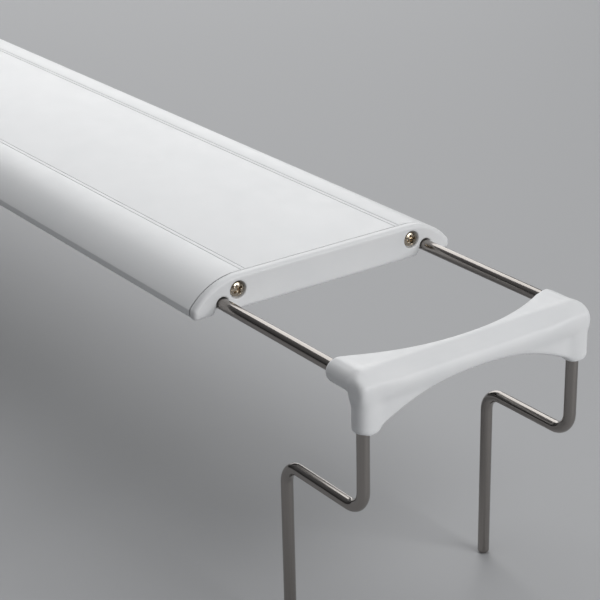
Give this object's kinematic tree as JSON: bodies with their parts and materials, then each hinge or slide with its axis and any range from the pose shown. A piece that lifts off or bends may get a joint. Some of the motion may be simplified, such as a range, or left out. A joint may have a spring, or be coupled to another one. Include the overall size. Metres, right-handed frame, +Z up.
{
  "type": "led aquarium light",
  "caption": "Slim white LED light for an aquarium, with a sliding bracket of steel rods, a moulded bridge and bent wire legs at each end that rest on the tank's rim.",
  "frame": {"origin": "on the ground between the leg tips, under the middle of the body", "axes": "+X along the body, towards the end without the power inlet; +Y to the back; +Z up"},
  "size_m": [0.6046, 0.1036, 0.1134],
  "materials": {
    "body_paint": "satin white powder coat on extruded aluminium",
    "white_plastic": "satin white moulded plastic",
    "wire_steel": "drawn stainless wire, polished along its length",
    "screw_nickel": "nickel plated",
    "seal_rubber": "light grey soft seal",
    "thermal_pad": "soft grey-blue pad",
    "board_white": "white solder mask on an aluminium core",
    "led": "white package with yellow phosphor",
    "resistor_black": "black chip resistors with tinned ends",
    "clear_acrylic": "clear polished acrylic",
    "black_plastic": "fine textured black plastic",
    "contact_metal": "plated brass",
    "lead_red": "red silicone insulation",
    "lead_black": "black silicone insulation",
    "glide_plastic": "natural white low-friction plastic",
    "stop_steel": "turned steel"
  },
  "bodies": {
    "lamp": {"housing": "body_paint", "end_cap_right": "white_plastic", "end_cap_left": "white_plastic", "cap_gasket_right": "seal_rubber", "cap_gasket_left": "seal_rubber", "cap_screws_right": "screw_nickel", "cap_screws_left": "screw_nickel", "thermal_pad": "thermal_pad", "led_board": "board_white", "led_row_1": "led", "led_row_2": "led", "led_row_3": "led", "led_row_4": "led", "board_resistors": "resistor_black", "cover_lens": "clear_acrylic", "dc_jack_body": "black_plastic", "dc_jack_contact": "contact_metal", "dc_jack_pin": "contact_metal", "lead_positive": "lead_red", "lead_negative": "lead_black", "rod_glide_right_front": "glide_plastic", "rod_glide_right_back": "glide_plastic", "rod_glide_left_front": "glide_plastic", "rod_glide_left_back": "glide_plastic"},
    "bracket_right": {"bridge_right": "white_plastic", "slide_rod_right_front": "wire_steel", "slide_rod_right_back": "wire_steel", "leg_right_front": "wire_steel", "leg_right_back": "wire_steel", "rod_stop_right_front": "stop_steel", "rod_stop_right_back": "stop_steel"},
    "bracket_left": {"bridge_left": "white_plastic", "slide_rod_left_front": "wire_steel", "slide_rod_left_back": "wire_steel", "leg_left_front": "wire_steel", "leg_left_back": "wire_steel", "rod_stop_left_front": "stop_steel", "rod_stop_left_back": "stop_steel"}
  },
  "joints": [
    {"name": "bracket_right_slide", "type": "slide", "parent": "lamp", "child": "bracket_right", "axis": [1, 0, 0], "range_m": [-0.055, 0.045]},
    {"name": "bracket_left_slide", "type": "slide", "parent": "lamp", "child": "bracket_left", "axis": [-1, 0, 0], "range_m": [-0.055, 0.045]}
  ]
}
